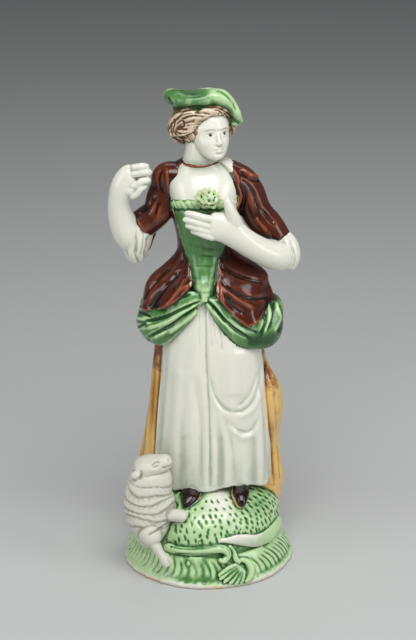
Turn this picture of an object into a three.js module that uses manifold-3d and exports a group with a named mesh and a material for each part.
// A glazed earthenware figure of a standing shepherdess, with a lamb at her feet, on a round scrolled base.
// The figure, the lamb and the base are one piece of fired clay, so the model is one solid.
// Millimetres, +Z up, the front faces -Y, and the origin is the centre of the underside.
import * as THREE from "three";
import { mergeVertices } from "three/addons/utils/BufferGeometryUtils.js";
import Module from "manifold-3d";

const wasm = await Module();
wasm.setup();

// Driving dimensions
const FOOT_RADIUS = 44.5;
const FLUTES = 25;
const MOUND_RADIUS = 37.4;
const MOUND_TOP = 43.5;
const MOUND_WAIST = 20;
const MOUND_POWER = 2.5;
const HEM_HEIGHT = 42;
const SKULL_CENTRE = [0.2, -2.2, 229];
const HEAD_YAW = THREE.MathUtils.degToRad(26);
const HEAD_NOD = THREE.MathUtils.degToRad(-5);
// Her front is laid out on a plane that faces a point this far off and this high above level
const VIEW_DISTANCE = 900;
const VIEW_TILT = THREE.MathUtils.degToRad(20);
const VIEW_MIDDLE = 130.49;
const GLAZE_COLOUR = 0xe4e6dc;

const DEGREE = Math.PI / 180;
const FRONT = -90 * DEGREE;

// Small number helpers
const lerp = THREE.MathUtils.lerp;
const clamp = THREE.MathUtils.clamp;
const smooth = (x) => THREE.MathUtils.smoothstep(x, 0, 1);
const bell = (x) => Math.exp(-x * x);
const turnOf = (angle) => Math.atan2(Math.sin(angle), Math.cos(angle));

// The row of numbers at share t of the way through a list of rows, on a smooth curve through them all
function along(rows, t) {
  const s = clamp(t, 0, 1) * (rows.length - 1);
  const i = Math.min(Math.floor(s), rows.length - 2);
  const f = s - i;
  const before = rows[Math.max(i - 1, 0)];
  const after = rows[Math.min(i + 2, rows.length - 1)];
  return rows[i].map((value, k) => {
    const next = rows[i + 1][k];
    const slopeIn = (next - before[k]) / 2;
    const slopeOut = (after[k] - value) / 2;
    const ff = f * f;
    const fff = ff * f;
    return (
      (2 * fff - 3 * ff + 1) * value +
      (fff - 2 * ff + f) * slopeIn +
      (3 * ff - 2 * fff) * next +
      (fff - ff) * slopeOut
    );
  });
}

// A closed skin: a sphere's grid, each point put by a function of its angle and its share of the way along
function skin(around, rows, place) {
  const grid = new THREE.SphereGeometry(1, around, rows);
  const position = grid.getAttribute("position");
  for (let i = 0; i < position.count; i++) {
    const column = (i % (around + 1)) % around;
    const row = Math.floor(i / (around + 1));
    const pole = row === 0 || row === rows;
    const angle = pole ? 0 : (2 * Math.PI * column) / around;
    position.setXYZ(i, ...place(angle, row / rows, pole));
  }
  return solidOf(grid);
}

// A geometry as a manifold-3d solid with its faces pointing out
function solidOf(geometry) {
  geometry.deleteAttribute("normal");
  geometry.deleteAttribute("uv");
  const merged = mergeVertices(geometry, 1e-4);
  const triVerts = new Uint32Array(merged.index.array);
  const vertProperties = merged.attributes.position.array;
  const make = () => new wasm.Manifold(new wasm.Mesh({ numProp: 3, vertProperties, triVerts }));
  const made = make();
  if (made.volume() > 0) return made;
  for (let i = 0; i < triVerts.length; i += 3) {
    [triVerts[i + 1], triVerts[i + 2]] = [triVerts[i + 2], triVerts[i + 1]];
  }
  return make();
}

const noRelief = () => 0;

// Folds in cloth: each is [angle in degrees, width in degrees, depth in mm, first share, last share]
function folds(list) {
  return (angle, t) => {
    let depth = 0;
    for (const [at, wide, deep, from, to] of list) {
      const fade = smooth((t - from) / 0.15) * smooth((to - t) / 0.1 + 1);
      depth += deep * fade * bell(turnOf(angle - at * DEGREE) / (wide * DEGREE));
    }
    return depth;
  };
}

// A point on an oval with squarer corners as the power falls below 1
function oval(angle, wide, deep, power) {
  const c = Math.cos(angle);
  const s = Math.sin(angle);
  return [
    wide * Math.sign(c) * Math.abs(c) ** power,
    deep * Math.sign(s) * Math.abs(s) ** power,
  ];
}

// Rings that lie level, from the first station to the last:
// [height, centre x, centre y, half width, half depth]
function tiers({ stations, around, rows, power = 1, relief = noRelief, lift = noRelief }) {
  return skin(around, rows, (angle, t, pole) => {
    const inner = pole ? 0 : (t * rows - 1) / (rows - 2);
    const share = pole ? t : inner;
    const [z, x, y, wide, deep] = along(stations, share);
    if (pole) return [x, y, z];
    const more = relief(angle, share);
    const [dx, dy] = oval(angle, wide + more, deep + more, power);
    return [x + dx, y + dy, z + lift(angle, share)];
  });
}

// A rounded limb along a path: stations are [x, y, z, half width, half depth], and across is the way of its
// width
function limb({ stations, across = [1, 0, 0], around, rows, round = 0.2, relief = noRelief }) {
  const wayAcross = new THREE.Vector3(...across);
  const pointAt = (t) => new THREE.Vector3(...along(stations, t).slice(0, 3));
  return skin(around, rows, (angle, r, pole) => {
    const t = r - (Math.sin(2 * Math.PI * r) / (2 * Math.PI)) * 0.6;
    const centre = pointAt(t);
    if (pole) return centre.toArray();
    const [, , , wide, deep] = along(stations, t);
    const tangent = pointAt(t + 0.01).sub(pointAt(t - 0.01)).normalize();
    const side = wayAcross.clone().addScaledVector(tangent, -wayAcross.dot(tangent)).normalize();
    const front = tangent.clone().cross(side);
    const end = Math.min(1, Math.min(t, 1 - t) / round);
    const size = Math.sqrt(1 - (1 - end) ** 2);
    const more = relief(angle, t);
    return centre
      .addScaledVector(side, (wide + more) * size * Math.cos(angle))
      .addScaledVector(front, (deep + more) * size * Math.sin(angle))
      .toArray();
  });
}

// Stations laid out on the tilted plane, [across, up, y, ...], as [x, y, z, ...]
function drawn(rows) {
  const c = Math.cos(VIEW_TILT);
  const s = Math.sin(VIEW_TILT);
  return rows.map(([across, up, y, ...rest]) => {
    const level = up * (VIEW_DISTANCE + y * c) - y * s * VIEW_DISTANCE;
    const height = level / (c * VIEW_DISTANCE + up * s);
    const away = VIEW_DISTANCE + y * c - height * s;
    return [(across * away) / VIEW_DISTANCE, y, height + VIEW_MIDDLE, ...rest];
  });
}

// Radius of the foot and the mound at a height
function baseRadius(z) {
  const footTop = 15.4;
  if (z < footTop) return FOOT_RADIUS - (6.6 * z) / footTop;
  if (z < MOUND_WAIST) return MOUND_RADIUS;
  const rise = Math.min(1, (z - MOUND_WAIST) / (MOUND_TOP - MOUND_WAIST));
  return MOUND_RADIUS * (1 - rise ** MOUND_POWER) ** (1 / MOUND_POWER);
}

// Stations on the skin of the base, [across, up, how proud, ...], as [x, y, z, ...]
function onBase(rows) {
  return rows.map(([across, up, proud, ...rest]) => {
    let y = -38;
    for (let turn = 0; turn < 12; turn++) {
      const [[x, , z]] = drawn([[across, up, y]]);
      y = -Math.sqrt(Math.max((baseRadius(z) + proud) ** 2 - x * x, 4));
    }
    return drawn([[across, up, y, ...rest]])[0];
  });
}

// The flared foot of the base, with slanting flutes all round
function foot() {
  const profile = [
    [0, 0, 0],
    [FOOT_RADIUS - 0.8, 0, 0],
    [FOOT_RADIUS, 3, 0.3],
    [FOOT_RADIUS - 3, 8, 1.3],
    [FOOT_RADIUS - 6, 14.6, 0.9],
    [0, 17, 0],
  ];
  return skin(FLUTES * 2, profile.length - 1, (angle, t, pole) => {
    const [radius, z, carved] = profile[Math.round(t * (profile.length - 1))];
    if (pole) return [0, 0, z];
    const lean = 0.011 * z * Math.cos(angle);
    const flute = Math.cos(FLUTES * (angle - lean));
    const wavy = 0.45 * Math.cos(3 * angle + 1) + 0.3 * Math.cos(7 * angle);
    const r = radius - carved * (0.5 + 0.5 * flute) + wavy;
    return [r * Math.cos(angle), r * Math.sin(angle), z];
  });
}

// The grassy mound that she stands on
function mound() {
  const profile = [
    [0, 8],
    [MOUND_RADIUS - 0.6, 15],
    [MOUND_RADIUS, MOUND_WAIST],
    [baseRadius(29), 29],
    [baseRadius(36), 36],
    [baseRadius(41), 41],
    [0, MOUND_TOP],
  ];
  return skin(25, profile.length - 1, (angle, t, pole) => {
    const [radius, z] = profile[Math.round(t * (profile.length - 1))];
    if (pole) return [0, 0, z];
    const uneven = 0.5 * Math.cos(4 * angle) + 0.4 * Math.cos(7 * angle + z * 0.2);
    const r = radius + uneven;
    return [r * Math.cos(angle), r * Math.sin(angle), z];
  });
}

// The scrolls and the shell on the front of the base
function scrolls() {
  const lip = [
    [5, -112.4, 0.2, 0.5, 0.7],
    [14.6, -111.6, 0.6, 1.3, 2.8],
    [24.1, -112.1, 0.7, 1.6, 3.7],
    [29.2, -110.4, 0.7, 1.6, 3.8],
    [35.4, -103.4, 0.4, 1.5, 3.4],
    [36.2, -99.6, 0, 1.2, 2.4],
  ];
  const bar = [
    [-22, -115.8, 0.4, 1.4, 1.8],
    [-15.9, -116.9, 0.9, 1.6, 2.3],
    [-4.4, -117.4, 1.1, 1.7, 2.3],
    [5.9, -116.2, 1.4, 1.9, 2.2],
    [9.9, -119.8, 1.8, 1.8, 2],
    [6.4, -122.2, 1.7, 1.3, 1.2],
  ];
  const stem = [
    [10.8, -114.6, 0.6, 1, 1.1],
    [14.3, -121.6, 0.8, 1.2, 1.4],
    [16.4, -123.4, 0.6, 1.4, 1.7],
  ];
  const crescent = [
    [14.6, -122.4, 0.4, 0.9, 0.9],
    [20, -123, 1, 1.6, 1.9],
    [21, -130.4, 0.8, 1.6, 2],
    [18.6, -133.2, 0.5, 1.1, 1.2],
  ];
  const tips = [
    [5, -130.8],
    [8.8, -133.8],
    [13, -134.6],
    [16.6, -134.2],
  ];
  const ribs = tips.map(([tipX, tipV]) => [
    [16.8, -125.4, 0.5, 1.2, 1.2],
    [lerp(16.8, tipX, 0.42), lerp(-125.4, tipV, 0.42), 0.7, 1.5, 1.7],
    [tipX, tipV, 0.2, 1.2, 1.2],
  ]);
  const across = [0, 1, 0];
  return [
    limb({ stations: onBase(lip), across, around: 6, rows: 11, round: 0.1 }),
    limb({ stations: onBase(bar), across, around: 6, rows: 12, round: 0.08 }),
    limb({ stations: onBase(stem), across, around: 5, rows: 4 }),
    limb({ stations: onBase(crescent), across, around: 5, rows: 5 }),
    ...ribs.map((rib) => limb({ stations: onBase(rib), across, around: 5, rows: 4, round: 0.3 })),
  ];
}

// The white petticoat, with folds that run down to its hem
function petticoat() {
  return tiers({
    stations: [
      [HEM_HEIGHT, 2.2, 1, 30.4, 20.6],
      [52, 2.4, 1, 30.2, 20.8],
      [66, 2.6, 0.6, 29.6, 20.6],
      [84, 2.6, 0.2, 28.4, 20.2],
      [102, 2.4, 0, 26.6, 19.6],
      [120, 1.8, -0.4, 24.6, 19],
      [138, 0.4, -0.6, 21.4, 17.4],
      [152, -1, -1, 15, 13],
    ],
    around: 34,
    rows: 9,
    power: 0.88,
    relief: (angle, t) => {
      const down = 1 - 0.75 * t;
      return petticoatFolds(angle, 1 - t) + 0.25 * down * Math.cos(15 * angle);
    },
    lift: (angle, t) => {
      const turn = turnOf(angle - FRONT);
      const overShoes = 4.4 * bell((turn - 0.44) / 0.42) + 2.4 * bell((turn + 0.34) / 0.19);
      return smooth(1 - t / 0.12) * overShoes;
    },
  });
}
const petticoatFolds = folds([
  [-92, 5, -2.6, 0.1, 1],
  [-84, 5, 1, 0.25, 1],
  [-101, 5, 0.9, 0.3, 1],
  [-119, 9, 1.2, 0.1, 1],
  [-134, 6, -1.4, 0.4, 1],
  [-156, 7, -1.6, 0.1, 1],
  [-62, 14, 1.8, 0.3, 0.75],
  [-74, 5, -1.2, 0.5, 1],
  [-46, 6, -1.2, 0.62, 1],
  [-26, 6, -1.6, 0.1, 1],
]);

// The ochre gown skirt that falls behind and spreads at both sides
function train() {
  return tiers({
    stations: [
      [25, 0.8, 11, 37.4, 19.6],
      [38, 1.4, 11.4, 38.4, 19.8],
      [50, 1, 10.6, 37.2, 20],
      [64, 1.6, 9, 35.4, 20.4],
      [78, 3.8, 7.6, 35.2, 20.4],
      [92, 4, 7.2, 33.4, 19.6],
      [106, 1.2, 6.6, 29.4, 18.8],
      [122, 0.2, 6, 27, 17.6],
      [138, 0, 5, 24, 16],
    ],
    around: 30,
    rows: 9,
    relief: (angle, t) => {
      const down = 1 - 0.7 * t;
      const back = smooth(Math.sin(angle) + 0.35);
      return down * back * (1.6 * Math.cos(9 * angle + 1.2) + 0.5 * Math.cos(16 * angle));
    },
  });
}

// The green looped-up overskirt: one roll of cloth round the hips that meets at the front
function overskirt() {
  const stations = [
    [-2.6, -18.2, 147.6, 1.8, 1.6],
    [-8.4, -18, 146.6, 5.6, 2.8],
    [-17.6, -15.4, 137.6, 7.6, 3.6],
    [-25.2, -9.8, 131.4, 10, 5],
    [-30.4, 1, 130.6, 10.6, 6],
    [-26.6, 12, 131, 11, 5.8],
    [-15, 18.6, 127.6, 12, 5.8],
    [0, 20.6, 133, 9, 4.6],
    [15, 18.6, 127.6, 12, 5.8],
    [27.4, 12, 131, 11, 5.8],
    [32.4, 1, 131.4, 12, 6.6],
    [27.8, -9.2, 128.8, 10, 5.6],
    [18.6, -15, 130.2, 8, 4],
    [7.4, -18, 142.4, 6.4, 3],
    [-0.8, -18.2, 147.6, 1.8, 1.6],
  ];
  return limb({
    stations,
    across: [0, 0, 1],
    around: 8,
    rows: 27,
    round: 0.02,
    relief: (angle, t) => {
      const fullness = Math.sin(Math.PI * t) ** 0.6;
      const puff = Math.cos(2 * Math.PI * 9 * t) * Math.sin(2 * Math.PI * t) ** 2;
      return fullness * (0.6 * Math.cos(4 * angle + 5 * t) + 0.5 * puff);
    },
  });
}

// The upper body under the jacket: the green stays in front and the bare chest above them
function chest() {
  return tiers({
    stations: [
      [147, -2.2, -15.2, 3.8, 4.2],
      [154, -2, -10, 6, 8.4],
      [162, -1.9, -5, 8.4, 9.6],
      [170, -1.8, -3, 10.4, 9.6],
      [179, -1.8, -2.4, 12.6, 10.8],
      [188, -1.7, -2, 14.8, 12.4],
      [197, -1.8, -1.8, 17, 13.2],
      [204, -2.2, -1.2, 17.6, 11.4],
      [209, -2.6, -0.6, 14.4, 9.2],
      [213.6, -3.4, -0.4, 10, 8],
    ],
    around: 16,
    rows: 11,
    relief: (angle, t) => {
      const bust = bell((t - 0.62) / 0.1);
      const left = bell(turnOf(angle - FRONT + 0.5) / 0.4);
      const right = bell(turnOf(angle - FRONT - 0.5) / 0.4);
      return bust * (left + right) * 0.8;
    },
  });
}

// The brown jacket: open in front over the stays, tight at the waist, and flared below it
function jacket() {
  // [height, centre x, centre y, half width, half depth, half angle of the opening, its turn to her right]
  const stations = [
    [139, -0.6, 0.4, 32.8, 21.6, 0.2, 0.05],
    [146, -0.6, 0.2, 31, 21, 0.22, 0.05],
    [153, -0.8, 0, 26.6, 18.6, 0.25, 0.05],
    [160, -1, 0.2, 19.4, 14.4, 0.32, 0.05],
    [167.5, -1.4, 0.6, 14, 11.8, 0.47, 0.05],
    [177, -1.4, 0.6, 14.6, 12, 0.62, 0.08],
    [187, -1, 0.8, 17.6, 13.2, 0.82, 0.12],
    [196, -0.4, 1, 21, 13.6, 0.98, 0.17],
    [204, 0, 1.2, 23, 12, 0.8, 0.18],
    [209.6, -0.2, 1.4, 20.6, 9.8, 0.78, 0.16],
    [214.6, -1.6, 1.6, 11.6, 8, 0.8, 0.1],
  ];
  // Height of the lower edge every 22.5 degrees, from her left side round the front, her right side and back
  const edge = [
    143, 140, 135.6, 140.2, 156.8, 149.4, 141, 139, 139, 138.4, 137.6, 137.2, 136.8, 137.6, 138.6, 140.4, 143,
  ].map((height) => [height]);
  return tiers({
    stations,
    around: 30,
    rows: 12,
    relief: (angle, t) => {
      const [, , , , , open, aside] = along(stations, t);
      const gap = -3.4 * smooth((open - Math.abs(turnOf(angle - FRONT + aside))) / 0.2 + 0.5);
      const flare = smooth((0.3 - t) / 0.3);
      const leftHip = 7 * bell(turnOf(angle) / 0.6) * bell((t - 0.27) / 0.1);
      const rightHip = 2.6 * bell(turnOf(angle - Math.PI) / 0.6) * bell((t - 0.22) / 0.14);
      return gap + leftHip + rightHip + flare * (Math.cos(9 * angle + 0.6) + 0.4 * Math.cos(14 * angle));
    },
    lift: (angle, t) => {
      const round = (((-angle / (2 * Math.PI)) % 1) + 1) % 1;
      const below = smooth((0.3 - t) / 0.3);
      return below * (along(edge, round)[0] - stations[0][0]);
    },
  });
}

function neck() {
  return limb({
    stations: [
      [-3.4, 0.4, 206, 11, 8.8],
      [-3.4, -0.4, 213, 9.2, 7.8],
      [-3, -1.4, 219.6, 8.2, 7.6],
      [-2.6, -1.6, 226, 8, 7.4],
    ],
    around: 12,
    rows: 6,
    round: 0.05,
  });
}

// A point of the head, from its own frame, in which it faces -Y and its centre is the origin
function onHead([x, y, z]) {
  const point = new THREE.Vector3(x, y, z);
  point.applyAxisAngle(new THREE.Vector3(1, 0, 0), HEAD_NOD);
  point.applyAxisAngle(new THREE.Vector3(0, 0, 1), HEAD_YAW);
  return point.add(new THREE.Vector3(...SKULL_CENTRE)).toArray();
}

// The skull and face: a calm oval with a brow, sockets, cheeks and a chin
function head() {
  const stations = [
    [-12.6, -6.6, 2.6, 2.2],
    [-11.4, -6.2, 4.4, 4.2],
    [-8.6, -4.2, 6.8, 6.8],
    [-4.6, -2.2, 8.7, 9],
    [0, -0.8, 9.6, 10.3],
    [4.6, 0, 9.8, 10.8],
    [8.6, 0.4, 8.8, 9.8],
    [11.4, 0.8, 6.4, 7],
    [13, 1, 2.6, 3],
  ];
  return skin(19, 12, (angle, t, pole) => {
    const [z, y, wide, deep] = along(stations, t);
    if (pole) return onHead([0, y, z]);
    const side = turnOf(angle - FRONT);
    const sockets = bell((z - 0.8) / 1.7) * (bell((side - 0.42) / 0.2) + bell((side + 0.42) / 0.2));
    const cheeks = bell((z + 4) / 2.4) * (bell((side - 0.6) / 0.25) + bell((side + 0.6) / 0.25));
    const mouth = bell((z + 7.2) / 1.6) * bell(side / 0.3);
    const more = -1 * sockets + 0.4 * cheeks + 0.5 * mouth;
    return onHead([(wide + more) * Math.cos(angle), y + (deep + more) * Math.sin(angle), z]);
  });
}

function nose() {
  return limb({
    stations: [
      onHead([0, -10, 2.4]).concat(0.8, 1),
      onHead([0, -11.2, -0.8]).concat(1, 1.2),
      onHead([0, -12.2, -3.4]).concat(1.5, 1.5),
      onHead([0, -10.4, -4.6]).concat(1.5, 1.2),
    ],
    around: 6,
    rows: 5,
  });
}

// Hair swept back from the face, in waves, with a roll of curls at each side and a knot behind
function hair() {
  const middle = [-0.8, 3.6, 3.4];
  const cap = skin(16, 8, (angle, t, pole) => {
    const up = -Math.cos(Math.PI * t);
    const ring = Math.sin(Math.PI * t);
    const z = middle[2] + 11.8 * up;
    if (pole) return onHead([middle[0], middle[1], z]);
    const waves = 0.6 * Math.cos(6 * angle + 4 * up);
    const x = middle[0] + (12.8 + waves) * ring * Math.cos(angle);
    return onHead([x, middle[1] + (11.6 + waves) * ring * Math.sin(angle), z]);
  });
  const roll = (points) =>
    limb({
      stations: points.map(([x, y, z, radius]) => onHead([x, y, z]).concat(radius, radius * 1.1)),
      across: [0, 0, 1],
      around: 7,
      rows: 9,
      relief: (angle, t) => 0.5 * Math.cos(3 * angle + 12 * t),
    });
  const herRight = roll([
    [-5.6, -8.2, 9, 1.8],
    [-10, -4, 9.8, 3.6],
    [-12.6, 1.4, 8.4, 4.6],
    [-13.2, 5.6, 3.4, 5.2],
    [-12, 8, -1, 4.4],
    [-9.2, 9.6, -3.2, 3.7],
    [-5, 11, -5.4, 3.2],
  ]);
  const herLeft = roll([
    [5.6, -8.2, 8.6, 1.8],
    [9.4, -5, 6.6, 2.4],
    [10.8, -1.6, 2.4, 3],
    [10.8, 3, -2, 3.6],
    [8.4, 7, -5, 3.4],
    [4, 10, -6.4, 3],
  ]);
  const front = limb({
    stations: [
      onHead([-7.6, -7.2, 8.6]).concat(1.8, 1.6),
      onHead([-2.8, -9.2, 10.4]).concat(2.2, 2),
      onHead([2.8, -9.2, 10.4]).concat(2.2, 2),
      onHead([7.6, -7.2, 8.6]).concat(1.8, 1.6),
    ],
    across: [0, 0, 1],
    around: 6,
    rows: 6,
    relief: (angle, t) => 0.3 * Math.cos(9 * t * Math.PI),
  });
  const knot = limb({
    stations: [
      onHead([0, 11, 1.5]).concat(4.6, 4.2),
      onHead([0, 14, -1.6]).concat(5.2, 4.6),
      onHead([0, 12.6, -6.4]).concat(3.6, 3.4),
    ],
    around: 8,
    rows: 5,
    relief: (angle) => 0.4 * Math.cos(4 * angle),
  });
  return [cap, herRight, herLeft, front, knot];
}

// The soft green hat: turned up in front and at her right, and drooping over her left ear
function hat() {
  const inFront = [
    [14.2, 98.6, -2.6, 1, 2.2],
    [13.4, 105.6, -4, 2.5, 4.6],
    [10.8, 109.6, -5.4, 3.4, 5.2],
    [6.4, 112.7, -7.4, 4.2, 5.2],
    [1.8, 113.8, -9, 4, 4.8],
    [-1.8, 112.4, -9.8, 3.2, 4.2],
    [-10.4, 111.6, -9, 3, 4],
    [-14.8, 112.6, -6.4, 3.8, 4.4],
    [-17.8, 112.8, -1.6, 3.6, 4],
  ];
  const behind = [
    [-17.6, 4.4, 245.4, 3.8, 4],
    [-13.6, 9.8, 244.2, 3.2, 3.4],
    [-7, 13.2, 243.6, 3, 3],
    [1, 13.4, 243.8, 3.2, 3.2],
    [7.6, 10, 242.4, 3.4, 3.6],
    [11, 4.8, 239.4, 3.8, 3.8],
    [12, 0, 236.4, 3.4, 3.4],
  ];
  const crown = [
    [-2.4, 3.4, 236, 11, 9.2],
    [-2.6, 1.4, 239.6, 14.2, 12],
    [-2.8, 0.8, 244.4, 14.6, 11.8],
    [-2.8, 0.6, 247.4, 13, 10.2],
  ];
  return [
    limb({ stations: [...drawn(inFront), ...behind], across: [0, 0, 1], around: 7, rows: 19, round: 0.06 }),
    limb({ stations: crown, around: 10, rows: 5 }),
  ];
}

// A sleeve with soft creases across it
function sleeve(stations) {
  return limb({
    stations,
    across: [0, 1, 0],
    around: 10,
    rows: 8,
    round: 0.1,
    relief: (angle, t) => 0.3 * Math.cos(16 * t + 1.5 * Math.cos(angle)),
  });
}

// The gathered white ruffle at an elbow
function ruffle(stations, around) {
  return limb({
    stations,
    across: [0, 1, 0],
    around,
    rows: 5,
    round: 0.12,
    relief: (angle, t) => 1.1 * t * Math.cos((around / 3) * angle),
  });
}

const finger = (stations) => limb({ stations, across: [0, 1, 0.2], around: 5, rows: 5, round: 0.2 });

// Her raised right arm, on the viewer's left, with the fingers curled as if round a crook
function raisedArm() {
  const forearm = limb({
    stations: [
      [-35, -1, 171, 6, 6.4],
      [-39.6, -3, 177, 7.2, 7.4],
      [-42.8, -5.4, 186, 6.2, 6.6],
      [-43.6, -8, 195.4, 5, 5.6],
      [-41.2, -9.8, 203, 5, 6.6],
      [-38, -10.6, 208.4, 4.8, 6.4],
      [-35, -10.8, 210, 4, 5.4],
    ],
    across: [0, 1, 0],
    around: 9,
    rows: 9,
    round: 0.12,
  });
  // [tip across, tip up, drop of the root, half thickness]
  const curled = [
    [-31.6, 77.9, 0.2, 1.75],
    [-30.3, 75, 0.5, 1.85],
    [-30.9, 70.9, 2.2, 1.85],
    [-32.4, 67.6, 3.6, 1.6],
  ].map(([tipX, tipV, drop, thick]) =>
    finger(
      drawn([
        [-39.4, tipV - 1.6 * drop, -13.2, thick, thick],
        [-36, tipV - drop, -14.6, thick, thick],
        [tipX, tipV, -13.4, thick, thick],
        [tipX - 4, tipV - 0.6, -9, thick * 0.8, thick * 0.8],
      ]),
    ),
  );
  const thumb = finger([
    [-40.4, -12, 202, 3, 3.4],
    [-36.6, -12.4, 203, 3, 3.2],
    [-33.6, -11.4, 205.6, 2.6, 2.6],
  ]);
  return [
    sleeve([
      [-11.5, 1.5, 207.6, 7.4, 4.6],
      [-20, 1.6, 205.8, 7.4, 7.2],
      [-21, 2, 199.6, 7.8, 7.6],
      [-22.8, 1.8, 193, 8, 8],
      [-25.6, 1, 187, 9.2, 7.6],
      [-30, 0.4, 183.2, 9.4, 7.2],
      [-35.2, -0.4, 180.2, 8.6, 6.8],
    ]),
    ruffle(
      [
        [-32.4, -1.4, 183, 6, 6],
        [-34.6, -1.6, 176, 7.6, 6.6],
        [-36, -1, 169, 7, 6],
        [-34.6, 0.6, 162.6, 4.6, 3.6],
      ],
      12,
    ),
    forearm,
    ...curled,
    thumb,
  ];
}

// Her left arm, on the viewer's right, bent so that the hand holds flowers to her breast
function bentArm() {
  const forearm = limb({
    stations: [
      [39, -3, 166, 7.4, 7.6],
      [34, -8, 167.4, 7.2, 7.4],
      [26, -13, 171.8, 6.4, 6.6],
      [17, -17.6, 178.6, 5.2, 6.4],
      [9, -20, 185, 4.6, 7.4],
      [3, -20.6, 186.6, 4, 7],
      [-0.6, -20.4, 187.4, 3.2, 6],
    ],
    across: [0, 1, 0],
    around: 9,
    rows: 9,
    round: 0.12,
  });
  // [tip across, tip up, root up, half thickness]
  const straight = [
    [-12, 54.4, 50.8, 1.75],
    [-12.8, 51.2, 47.2, 1.8],
    [-11.6, 48.1, 44.2, 1.75],
    [-8.8, 45.3, 41.6, 1.6],
  ].map(([tipX, tipV, rootV, thick]) =>
    finger(
      drawn([
        [3.4, rootV, -21.4, thick * 1.1, thick * 1.2],
        [lerp(3.4, tipX, 0.5), lerp(rootV, tipV, 0.5), -23.2, thick, thick],
        [tipX, tipV, -20.6, thick * 0.7, thick * 0.72],
      ]),
    ),
  );
  const thumb = finger(
    drawn([
      [14.4, 46.6, -18.4, 4, 4.4],
      [11.6, 55, -21.8, 3, 3],
      [9, 62, -22.2, 1.8, 1.7],
    ]),
  );
  return [
    sleeve([
      [10.5, 1.5, 208, 7.2, 4.4],
      [16.6, 1.6, 204, 8.4, 7],
      [19.6, 2, 199, 8.4, 7.6],
      [22, 2, 192, 8, 7.8],
      [25.6, 1.6, 185.4, 8, 7.8],
      [30.8, 0.6, 178.8, 8.2, 7.6],
      [36, -1.2, 171.8, 8, 7.4],
    ]),
    ruffle(
      [
        [35, 0, 174, 7, 6.6],
        [37.6, -1.4, 170, 8, 7.2],
        [38.6, -2.6, 165, 7.6, 6.6],
        [37, -3.6, 159.6, 5.2, 4.6],
      ],
      12,
    ),
    forearm,
    ...straight,
    thumb,
  ];
}

// The bunch of flowers in her left hand: a ring of leaves that spread from its stem
function posy() {
  const [root] = drawn([[0.4, 61, -13]]);
  const leaves = [];
  for (let i = 0; i < 8; i++) {
    const a = i * 137.5 * DEGREE;
    const out = 0.55 + 0.45 * Math.sqrt(i / 7);
    const [tip] = drawn([[0.2 + 7.6 * out * Math.cos(a), 61.4 + 5.6 * out * Math.sin(a), -25.4 + 0.6 * i]]);
    leaves.push(
      limb({
        stations: [
          [...root, 1.6, 1.6],
          root.map((v, k) => lerp(v, tip[k], 0.6)).concat(2.4, 1.4),
          [...tip, 0.8, 0.7],
        ],
        across: [-Math.sin(a), 0, Math.cos(a)],
        around: 5,
        rows: 4,
        round: 0.3,
      }),
    );
  }
  return leaves;
}

// The toe of a shoe that looks out below the hem
const shoe = (stations) => limb({ stations: drawn(stations), around: 7, rows: 5, round: 0.25 });
const rightShoe = [
  [-8.4, -85.6, -14, 5, 3.4],
  [-8.9, -89.6, -20.6, 4.7, 3.2],
  [-11.6, -95.2, -26.6, 1.3, 1.4],
];
const leftShoe = [
  [16.8, -84.6, -14, 4.5, 3.4],
  [16.8, -88.6, -20.6, 4.2, 3.2],
  [17.1, -95, -26.4, 1.6, 1.4],
];

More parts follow.
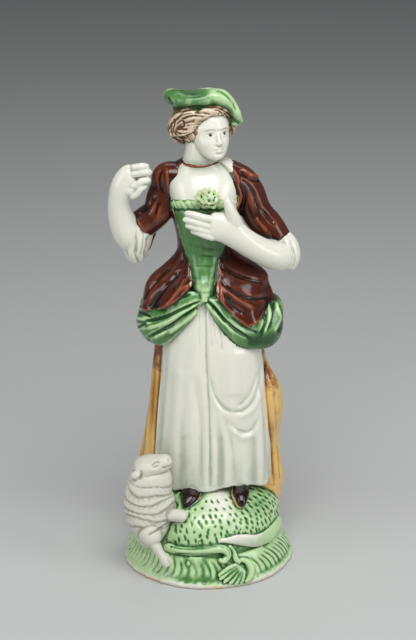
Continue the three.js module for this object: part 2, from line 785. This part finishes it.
// The lamb: it lies against the mound with its head raised and one leg over the edge
function lamb() {
  const body = limb({
    stations: drawn([
      [-30.2, -115.6, -29, 4.4, 5],
      [-29.7, -106, -27, 9.6, 9.8],
      [-29.5, -96, -25, 13.2, 11.4],
      [-30, -91, -24.4, 13.1, 11],
      [-29.4, -82, -23.6, 11.3, 9.8],
      [-29.2, -77.6, -23.4, 10.4, 9],
      [-29.6, -73.6, -23.4, 7.4, 7.2],
    ]),
    around: 15,
    rows: 11,
    round: 0.12,
    relief: (angle, t) => 0.4 * Math.cos(46 * t),
  });
  const head = limb({
    stations: drawn([
      [-37.4, -76.8, -23, 6, 3.6],
      [-33.6, -75.2, -23.2, 7.4, 5.6],
      [-25.6, -73.4, -24.6, 6.4, 5.3],
      [-18.8, -71.6, -26, 3.8, 3.4],
    ]),
    across: [0, 1, 0],
    around: 10,
    rows: 7,
    round: 0.16,
  });
  const chin = limb({
    stations: drawn([
      [-29, -78.8, -24.4, 5.2, 4.2],
      [-21.4, -75.6, -26, 2.5, 1.7],
    ]),
    across: [0, 1, 0],
    around: 5,
    rows: 4,
    round: 0.25,
  });
  const earAcross = [0.3, 0, 0.9];
  const ear = (stations) =>
    limb({ stations: drawn(stations), across: earAcross, around: 5, rows: 4, round: 0.4 });
  const foreleg = limb({
    stations: drawn([
      [-22, -98.4, -29, 4.4, 4.2],
      [-14.6, -99.5, -32.3, 3.5, 3.2],
      [-10.8, -100.8, -33.4, 2.8, 2.5],
    ]),
    across: [0, 1, 0],
    around: 7,
    rows: 5,
    round: 0.22,
  });
  const hindLeg = limb({
    stations: drawn([
      [-31.4, -105.4, -33, 6, 6.4],
      [-27.6, -112.6, -37.2, 3.6, 3.8],
      [-23.6, -119.4, -40, 2.2, 2.2],
      [-19.9, -125, -41.4, 2.3, 2.7],
    ]),
    across: [0, 1, 0],
    around: 7,
    rows: 7,
    round: 0.16,
  });
  return [
    body,
    head,
    chin,
    ear([
      [-35.2, -78.2, -29.4, 1.3, 1.5],
      [-38, -79.6, -29.2, 1, 1.4],
    ]),
    ear([
      [-33, -73.4, -17.4, 1.2, 1.5],
      [-37.4, -75.6, -16.6, 0.9, 1.2],
    ]),
    foreleg,
    hindLeg,
  ];
}

const forms = [
  foot(),
  mound(),
  ...scrolls(),
  petticoat(),
  train(),
  overskirt(),
  chest(),
  jacket(),
  neck(),
  head(),
  nose(),
  ...hair(),
  ...hat(),
  ...raisedArm(),
  ...bentArm(),
  ...posy(),
  shoe(rightShoe),
  shoe(leftShoe),
  ...lamb(),
];

// All the forms joined into the one piece of fired clay. Where two of them only just touch, the slivers of
// air sealed between them have shells that face inwards, with a volume below zero, and are filled.
const clay = forms.reduce((whole, form) => whole.add(form));
const outer = clay.decompose().filter((shell) => shell.volume() > 0);
const joined = outer.reduce((whole, shell) => whole.add(shell)).getMesh();
const geometry = new THREE.BufferGeometry();
geometry.setAttribute("position", new THREE.BufferAttribute(joined.vertProperties, 3));
geometry.setIndex(new THREE.BufferAttribute(joined.triVerts, 1));
geometry.computeVertexNormals();

const glaze = new THREE.MeshStandardMaterial({ color: GLAZE_COLOUR, roughness: 0.18, metalness: 0 });
const figure = new THREE.Mesh(geometry, glaze);
figure.name = "shepherdess_figure";

const part = new THREE.Group();
part.add(figure);

export default part;
